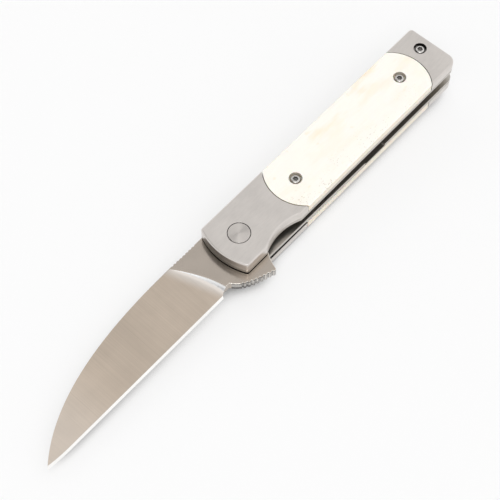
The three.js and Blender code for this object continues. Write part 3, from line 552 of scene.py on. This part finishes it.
def ease(node, width, segments, width_at=None, least=24.0):
    """Rounds a CAD node's corners and evens its shading, without touching its own vertices.

    `width_at` gives the width for an edge, from the edge and how far it turns. Edges that turn less than
    `least` degrees are left alone.
    """
    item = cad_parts[node]
    mesh = item.data
    widths = corner_widths(mesh, width_at or (lambda edge, turn: width), math.radians(least))
    ends = [vertex.co for vertex in mesh.vertices]
    found = [widths.get(edge_key(ends[edge.vertices[0]], ends[edge.vertices[1]])) for edge in mesh.edges]
    shares = mesh.attributes.new("bevel_weight_edge", "FLOAT", "EDGE")
    shares.data.foreach_set("value", [(amount or 0.0) / width for amount in found])
    mesh.edges.foreach_set("use_edge_sharp", [amount == 0.0 for amount in found])
    if "custom_normal" in mesh.attributes:
        mesh.attributes.remove(mesh.attributes["custom_normal"])
    mesh.polygons.foreach_set("use_smooth", [True] * len(mesh.polygons))
    item.modifiers.new("Join facets", "WELD").merge_threshold = MERGE
    whole = item.modifiers.new("Merge flat faces", "DECIMATE")
    whole.decimate_type = "DISSOLVE"
    whole.angle_limit = math.radians(0.3)
    whole.delimit = {"MATERIAL"}
    eased = item.modifiers.new("Ease edges", "BEVEL")
    eased.width = width
    eased.segments = segments
    eased.limit_method = "WEIGHT"
    eased.use_clamp_overlap = False
    even = item.modifiers.new("Even shading", "WEIGHTED_NORMAL")
    even.weight = 90
    even.keep_sharp = True
    return item


def dress(node, material, width, segments, width_at=None):
    """Rounds a CAD node's corners and gives it one material."""
    item = ease(node, width, segments, width_at)
    item.data.materials.clear()
    item.data.materials.append(material)


def shade_bores(node, fasteners, material, margin=0.65 * MM):
    """Gives the walls of the counterbores round some fasteners a material that paints the shade in them."""
    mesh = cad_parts[node].data
    mesh.materials.append(material)
    for low, high in (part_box(fastener) for fastener in fasteners):
        middle = ((low.x + high.x) / 2, (low.y + high.y) / 2)
        reach = (high.x - low.x) / 2 + margin
        for face in mesh.polygons:
            near = math.dist((face.center.x, face.center.y), middle) < reach
            if near and abs(face.normal.z) < 0.5:
                face.material_index = 1


def lathe_rings(rings, steps):
    """A closed mesh through rings, each a height and a radius or a radius for each angle."""
    made = bmesh.new()
    loops = []
    for height, radius in rings:
        loop = []
        for i in range(steps):
            angle = FULL_TURN * i / steps
            reach = radius(angle) if callable(radius) else radius
            loop.append(made.verts.new((reach * math.cos(angle), reach * math.sin(angle), height)))
        loops.append(loop)
    for below, above in zip(loops, loops[1:]):
        for i in range(steps):
            j = (i + 1) % steps
            made.faces.new((below[i], below[j], above[j], above[i]))
    for loop, backwards in ((loops[0], True), (loops[-1], False)):
        hub = made.verts.new((0, 0, loop[0].co.z))
        for i in range(steps):
            pair = (loop[i], loop[(i + 1) % steps])
            made.faces.new((*pair[::-1], hub) if backwards else (*pair, hub))
    return made


def piece(name, made, material, place, facing, sharp=40.0):
    """A new piece of the handle from a bmesh, set at a place and turned over where it faces down."""
    bmesh.ops.recalc_face_normals(made, faces=made.faces)
    mesh = bpy.data.meshes.new(name)
    made.to_mesh(mesh)
    made.free()
    mesh.polygons.foreach_set("use_smooth", [True] * len(mesh.polygons))
    mesh.set_sharp_from_angle(angle=math.radians(sharp))
    mesh.materials.append(material)
    item = bpy.data.objects.new(name, mesh)
    item.location = place
    item.rotation_euler = (math.pi if facing == BACK else 0.0, 0.0, 0.0)
    bpy.context.scene.collection.objects.link(item)
    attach(item, HANDLE_BODY)
    return item


def button_screw(node, facing, material):
    """A domed six-lobe screw with a rounded rim and a chamfered drive, in place of its node."""
    low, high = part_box(node)
    head = (high.x - low.x) / 2
    length = high.z - low.z
    crown = 1.0 * MM  # the head's whole height
    dome = 0.42 * MM  # how much of it is domed
    shoulder = 0.6 * MM  # how far in the dome reaches
    chamfer = 0.06 * MM
    shank = 0.95 * MM
    drive = 0.86 * MM  # the drive's reach to its lobes
    depth = 0.6 * MM

    def lobes(scale):
        return lambda angle: drive * scale * (0.87 + 0.13 * math.cos(6 * angle))

    rings = [
        (-length, shank * 0.8),
        (-length + 0.2 * MM, shank),
        (-crown, shank),
        (-crown, head - chamfer),
        (-crown + chamfer, head),
        (-dome, head),
    ]
    for i in range(1, 7):
        angle = math.radians(15 * i)
        rings.append((-dome * (1 - math.sin(angle)), head - shoulder * (1 - math.cos(angle))))
    rings += [
        (0.0, lobes(1.06)),
        (-0.05 * MM, lobes(1.0)),
        (-depth, lobes(0.97)),
        (-depth - 0.1 * MM, lobes(0.6)),
    ]
    middle = (low + high) / 2
    place = Vector((middle.x, middle.y, high.z if facing == SHOW else low.z))
    made = lathe_rings(rings, SCREW_STEPS)
    item = piece(f"{node}_fine", made, material, place, facing, 34.0)
    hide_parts(node)


def turned_head(radius, rim, pitch, depth):
    """Rings of a flat head faced on a lathe: a rounded rim and fine turning marks."""
    rings = []
    for i in range(5):
        angle = math.radians(22.5 * i)
        rings.append((-rim * (1 - math.sin(angle)), radius - rim * (1 - math.cos(angle))))
    marks = int((radius - rim) / pitch)
    for i in range(marks):
        outer = radius - rim - i * pitch
        for part in range(1, 5):
            wave = 0.5 - 0.5 * math.cos(math.pi * part / 2)
            rings.append((-depth * wave, outer - pitch * part / 4))
    return [ring for ring in rings if ring[1] > 0.02 * MM]


# Operators

class KNIFE_OT_blade(bpy.types.Operator):
    """Grinds, brushes and sharpens the look of the blade"""

    bl_idname = "knife.blade"
    bl_label = "Blade"

    def execute(self, context):
        finish = context.scene.knife_finish
        edges = context.scene.knife_edges
        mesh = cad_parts["blade"].data
        mesh.materials.clear()
        for material in self.materials(finish):
            mesh.materials.append(material)
        ends = [vertex.co for vertex in mesh.vertices]
        for face in mesh.polygons:
            face.material_index = self.finish_of(face, ends)

        def width_of(edge, turn):
            return edges.tang if self.is_eased(edge, turn) else 0.0

        item = ease("blade", edges.tang, edges.segments, width_of, least=11.0)
        # the eased corners get the brighter copy of the steel, a painted highlight
        item.modifiers["Ease edges"].material = HIGHLIGHTED
        return {"FINISHED"}

    def materials(self, finish):
        """The blade's materials, in the order of TANG, GROUND, SHARP, GROOVED and HIGHLIGHTED."""
        # the tang gets painted shade in its grooves
        tang = steel(
            "Tang steel", tuple(finish.tang), finish.polish, TANG_BRUSHING, tone=0.06, wear_and_highlight=0.5, recess_shade=0.95,
            reach=0.6 * MM, corner=0.45 * MM,
        )
        ground = steel(
            "Ground steel", tuple(finish.ground), finish.satin, GROUND_BRUSHING,
            tone=0.22, bump=1.2, wear_and_highlight=0.2, waves=0.6, plunge=0.9,
        )
        sharp = steel(
            "Sharpened steel", tuple(finish.edge), finish.polish, EDGE_BRUSHING, tone=0.08, wear_and_highlight=0
        )
        highlighted = steel("Highlighted steel", tuple(finish.highlighted), finish.polish, FINE, tone=0.04, wear_and_highlight=0)
        return tang, ground, sharp, grooved_material(finish), highlighted

    def finish_of(self, face, ends):
        """Tells a face's material by its place and tilt. Easing the edges adds the painted highlight."""
        tilt = math.acos(min(1.0, abs(face.normal.z)))
        ahead = PIVOT.x - face.center.x
        if tilt > math.radians(60) and ahead < 18 * MM and face.center.y < PIVOT.y - 8 * MM:
            return GROOVED
        if ahead < 12 * MM or tilt > math.radians(88):
            return TANG
        depths = [abs(ends[i].z - BLADE_MIDDLE) for i in face.vertices]
        if min(depths) < 0.02 * MM:
            return SHARP if tilt < math.radians(45) else TANG
        full_depth = (BLADE_HIGH.z - BLADE_LOW.z) / 2
        return GROUND if min(depths) < full_depth - 0.01 * MM else TANG

    def is_eased(self, edge, turn):
        """The tang's corners are eased, and those of the ground faces and the edge left keen."""
        plain = all(face.material_index in (TANG, GROOVED) for face in edge.link_faces)
        return plain and turn > math.radians(60) and edge.verts[0].co.x > PIVOT.x - 17 * MM


class KNIFE_OT_bolsters(bpy.types.Operator):
    """Satin finishes the four bolsters"""

    bl_idname = "knife.bolsters"
    bl_label = "Bolsters"

    def execute(self, context):
        finish = context.scene.knife_finish
        edges = context.scene.knife_edges
        # the bolsters get painted shade in the gaps beside them
        material = steel(
            "Bolster steel", tuple(finish.bolster), finish.satin, BOLSTER_BRUSHING,
            gaps=0.52, gap_reach=2 * MM, gap_open=0.62,
        )
        for side in ("show", "back"):
            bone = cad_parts[f"{side}_bone_scale"].data
            places = [vertex.co for vertex in bone.vertices]
            seam = BVHTree.FromPolygons(places, [tuple(face.vertices) for face in bone.polygons])
            low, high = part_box(f"{side}_front_bolster")
            inner = low.z if side == "show" else high.z

            def width_of(edge, turn):
                """Edges that are fitted against the bone or the liner stay crisp."""
                middle = (edge.verts[0].co + edge.verts[1].co) / 2
                fitted = seam.find_nearest(middle)[3] < TOUCH or abs(middle.z - inner) < 0.02 * MM
                return 0.0 if fitted else edges.bolster

            for end in ("front", "rear"):
                dress(f"{side}_{end}_bolster", material, edges.bolster, edges.segments, width_of)
        # painted shade: the counterbore walls round the butt screw and the pivot are dark
        bore_shade = steel("Bore shade steel", BORE_SHADE, 0.5, FINE, wear_and_highlight=0)
        shade_bores("show_rear_bolster", ("butt_screw",), bore_shade)
        shade_bores("show_front_bolster", ("pivot_barrel",), bore_shade)
        return {"FINISHED"}


class KNIFE_OT_scales(bpy.types.Operator):
    """Polishes the two bone scales"""

    bl_idname = "knife.scales"
    bl_label = "Bone scales"

    def execute(self, context):
        edges = context.scene.knife_edges
        material = bone_material(context.scene.knife_finish)
        bore_shade = bone_bore_shade_material()
        for side in ("show", "back"):
            dress(f"{side}_bone_scale", material, edges.bone, edges.segments)
            screws = [f"{side}_scale_screw_{end}" for end in ("front", "rear")]
            shade_bores(f"{side}_bone_scale", screws, bore_shade)
        return {"FINISHED"}


class KNIFE_OT_liners(bpy.types.Operator):
    """Finishes the liners, the lock bar and what lies between them"""

    bl_idname = "knife.liners"
    bl_label = "Liners and lock"

    def execute(self, context):
        finish = context.scene.knife_finish
        edges = context.scene.knife_edges
        # the liners get painted shade in the slot and the gaps between them
        material = steel(
            "Liner steel", tuple(finish.liner), finish.satin, LINER_BRUSHING, tone=0.14, gaps=0.95,
            gap_open=0.58,
        )
        for node in ("show_liner", "back_liner", "lock_bar", "backspacer"):
            dress(node, material, edges.liner, edges.segments)
        pins = steel("Pin steel", tuple(finish.screw), finish.polish, PIN_BRUSHING, tone=0.1)
        for node in ("stop_pin", "detent_ball"):
            dress(node, pins, edges.liner, edges.segments)
        cage = cage_material(finish)
        for node in ("show_bearing", "back_bearing"):
            dress(node, cage, edges.liner, edges.segments)
        return {"FINISHED"}


class KNIFE_OT_pivot(bpy.types.Operator):
    """Turns the pivot's blank head and its screw"""

    bl_idname = "knife.pivot"
    bl_label = "Pivot"

    def execute(self, context):
        finish = context.scene.knife_finish
        material = steel(
            "Turned steel", tuple(0.93 * part for part in finish.bolster), 0.45, FINE,
            tone=0.05, wear_and_highlight=0.4, anisotropy=0.85,
        )
        ring_gap = 0.1 * MM  # lets the dark ring round the head show
        radius = (PIVOT_HIGH.x - PIVOT_LOW.x) / 2 - ring_gap
        barrel = 2.5 * MM
        under = -1.55 * MM
        chamfer = 0.1 * MM
        rings = [
            (PIVOT_LOW.z - PIVOT_HIGH.z, barrel),
            (under, barrel),
            (under, radius - chamfer),
            (under + chamfer, radius),
        ]
        rings += turned_head(radius, rim=0.12 * MM, pitch=0.2 * MM, depth=0.003 * MM)
        head = piece("pivot_head", lathe_rings(rings, PIVOT_STEPS), material, PIVOT, SHOW)
        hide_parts("pivot_barrel")
        dress("pivot_screw", material, 0.05 * MM, 2)
        return {"FINISHED"}


class KNIFE_OT_screws(bpy.types.Operator):
    """Makes the button-head and the countersunk screws"""

    bl_idname = "knife.screws"
    bl_label = "Screws"

    def execute(self, context):
        finish = context.scene.knife_finish
        # the screws get painted shade in their drives
        material = steel(
            "Screw steel", tuple(finish.screw), finish.polish, FINE, tone=0.06, wear_and_highlight=0.3, recess_shade=0.85,
            reach=1.2 * MM,
        )
        for node in ("show_scale_screw_front", "show_scale_screw_rear", "butt_screw"):
            button_screw(node, SHOW, material)
        for node in ("back_scale_screw_front", "back_scale_screw_rear", "clip_screw_1", "clip_screw_2"):
            button_screw(node, BACK, material)
        sunk = steel("Sunk screw steel", SUNK_STEEL, 0.3, FINE, tone=0.1)
        ends = ("front_bolster_screw_1", "front_bolster_screw_2", "rear_bolster_screw", "spacer_screw")
        for side in ("show", "back"):
            for end in ends:
                dress(f"{side}_{end}", sunk, 0.03 * MM, 1)
        return {"FINISHED"}


class KNIFE_OT_clip(bpy.types.Operator):
    """Finishes the pocket clip"""

    bl_idname = "knife.clip"
    bl_label = "Pocket clip"

    def execute(self, context):
        finish = context.scene.knife_finish
        edges = context.scene.knife_edges
        material = steel("Clip steel", tuple(finish.bolster), finish.satin, CLIP_BRUSHING, tone=0.14)
        dress("pocket_clip", material, edges.clip, edges.segments)
        return {"FINISHED"}


class KNIFE_OT_stage(bpy.types.Operator):
    """Sets the camera, the pale floor and the soft light"""

    bl_idname = "knife.stage"
    bl_label = "Stage"

    def execute(self, context):
        studio = context.scene.knife_studio
        self.camera(context, studio)
        self.floor(context)
        self.lights(context, studio)
        context.scene.view_settings.view_transform = "Standard"
        return {"FINISHED"}

    def camera(self, context, studio):
        camera = bpy.data.objects.new("Camera", bpy.data.cameras.new("Camera"))
        context.scene.collection.objects.link(camera)
        camera.data.lens = studio.lens
        camera.data.sensor_width = 36.0
        camera.data.clip_start = 0.01
        camera.data.clip_end = 10.0
        camera.location = PIVOT + Vector(studio.reach)
        camera.rotation_euler = (math.pi / 2 - studio.pitch, 0.0, studio.heading - math.pi / 2)
        context.scene.camera = camera

    def floor(self, context):
        """The knife rests on its clip's crest and on the front edge of its back bolster.

        The camera and the steel see the floor as white with a soft shadow, which a painted shadow deepens
        near the knife. Other light finds it pale grey.
        """
        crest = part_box("pocket_clip")[0].z
        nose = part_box("back_front_bolster")[0]
        crest_front = PIVOT.x + 69.5 * MM  # where the clip's crest begins
        slope = math.atan2(nose.z - crest, crest_front - nose.x)
        made = bmesh.new()
        bmesh.ops.create_grid(made, x_segments=1, y_segments=1, size=FLOOR_REACH)
        mesh = bpy.data.meshes.new("Floor")
        made.to_mesh(mesh)
        made.free()
        floor = bpy.data.objects.new("Floor", mesh)
        context.scene.collection.objects.link(floor)
        floor.location = (crest_front, 0.0, crest - 0.02 * MM)
        floor.rotation_euler = (0.0, slope, 0.0)
        material, sheet, shader, place = new_material("Pale floor", Roughness=0.9)
        tone = sheet.ramp(sheet.noise(place, 3.0), 0.3, 0.7)
        path = sheet.add("ShaderNodeLightPath").outputs
        seen = sheet.maths("MAXIMUM", path["Is Camera Ray"], path["Is Glossy Ray"])
        seen = sheet.maths("MAXIMUM", seen, path["Is Transmission Ray"])
        lit = sheet.mix(tone, (0.84, 0.84, 0.84), (0.86, 0.86, 0.86))
        # painted shadow: the floor's glow fades where ambient occlusion finds the knife near
        open_air = sheet.add("ShaderNodeAmbientOcclusion", {"samples": 12}, Distance=9 * MM).outputs["AO"]
        clear = sheet.ramp(open_air, 0.22, 0.64, 0.1, 1.0)
        sheet.feed(shader, "Base Color", sheet.mix(seen, lit, (0.34, 0.34, 0.34)))
        sheet.feed(shader, "Emission Color", (1.0, 1.0, 1.0))
        white = sheet.maths("MULTIPLY", seen, 0.605)  # with the floor's lit part, just under full white
        sheet.feed(shader, "Emission Strength", sheet.maths("MULTIPLY", white, clear))
        mesh.materials.append(material)

    def lights(self, context, studio):
        """A white room that the steel mirrors, and a softbox that is kept out of its reflections.

        The room has a low window at the right, a shaded stretch of ceiling, two dark flags, a small lamp
        behind the camera and a light overhead. Each patch has a direction, the degrees round it that it
        fills, the degrees at which it ends, and its brightness.
        """
        horizon = 0.975  # as bright as the floor looks, so that the two join unseen
        world = bpy.data.worlds.new("Studio")
        context.scene.world = world
        world.use_nodes = True
        sheet = Sheet(world.node_tree)
        ground = world.node_tree.nodes["Background"]
        direction = sheet.add("ShaderNodeTexCoord").outputs["Generated"]
        height = sheet.add("ShaderNodeSeparateXYZ", Vector=direction).outputs["Z"]
        glow = sheet.ramp(height, 0.3, 0.65, studio.walls, studio.ceiling)
        low_down = sheet.ramp(height, 0.32, 0.16)
        glow = self.shift(sheet, glow, horizon, low_down)
        patches = (
            ((0.15, -0.95, 0.28), 10, 40, studio.window),
            ((0.40, 0.36, 0.84), 8, 26, studio.shade),
            ((-0.36, 0.42, 0.83), 12, 30, studio.flag),
            ((-0.6, -0.62, 0.48), 3, 10, studio.flag),
            ((-0.52, -0.47, 0.71), 5, 12, studio.lamp),
            ((-0.04, 0.18, 0.98), 6, 18, studio.overhead),
        )
        for toward, inner, outer, brightness in patches:
            near = sheet.vector("DOT_PRODUCT", direction, tuple(Vector(toward).normalized()), "Value")
            cover = sheet.ramp(near, math.cos(math.radians(outer)), math.cos(math.radians(inner)))
            glow = self.shift(sheet, glow, brightness, cover)
        sheet.feed(ground, "Color", (1.0, 1.0, 1.0))
        sheet.feed(ground, "Strength", glow)
        lamp = bpy.data.lights.new("Softbox", "AREA")
        lamp.shape = "DISK"
        lamp.size = 0.3
        lamp.energy = studio.softbox
        softbox = bpy.data.objects.new("Softbox", lamp)
        context.scene.collection.objects.link(softbox)
        softbox.visible_glossy = False
        softbox.location = PIVOT + Vector(studio.softbox_place)
        softbox.rotation_euler = (PIVOT - softbox.location).to_track_quat("-Z", "Y").to_euler()

    def shift(self, sheet, glow, brightness, cover):
        """The room's glow, changed to another brightness as far as that covers it."""
        change = sheet.maths("MULTIPLY", cover, sheet.maths("SUBTRACT", brightness, glow))
        return sheet.maths("ADD", glow, change)


class KNIFE_PT_panel(bpy.types.Panel):
    """The knife's settings and pieces"""

    bl_idname = "KNIFE_PT_panel"
    bl_label = "Folding knife"
    bl_space_type = "VIEW_3D"
    bl_region_type = "UI"
    bl_category = "Knife"

    def draw(self, context):
        for group_name in SETTINGS:
            box = self.layout.box()
            box.label(text=group_name.removeprefix("knife_").capitalize())
            settings = getattr(context.scene, group_name)
            for name in settings.bl_rna.properties.keys():
                if name not in ("rna_type", "name"):
                    box.prop(settings, name)
        for operator in OPERATORS:
            self.layout.operator(operator.bl_idname)


OPERATORS = (
    KNIFE_OT_stage, KNIFE_OT_blade, KNIFE_OT_bolsters, KNIFE_OT_scales,
    KNIFE_OT_liners, KNIFE_OT_pivot, KNIFE_OT_screws, KNIFE_OT_clip,
)
SETTINGS = {"knife_edges": KnifeEdges, "knife_finish": KnifeFinish, "knife_studio": KnifeStudio}


def register():
    for made in (*SETTINGS.values(), *OPERATORS, KNIFE_PT_panel):
        bpy.utils.register_class(made)
    for name, made in SETTINGS.items():
        setattr(bpy.types.Scene, name, PointerProperty(type=made))


def unregister():
    for name in SETTINGS:
        delattr(bpy.types.Scene, name)
    for made in reversed((*SETTINGS.values(), *OPERATORS, KNIFE_PT_panel)):
        bpy.utils.unregister_class(made)


def main():
    register()
    for operator in OPERATORS:
        area, name = operator.bl_idname.split(".")
        getattr(getattr(bpy.ops, area), name)()


if __name__ == "__main__":
    main()
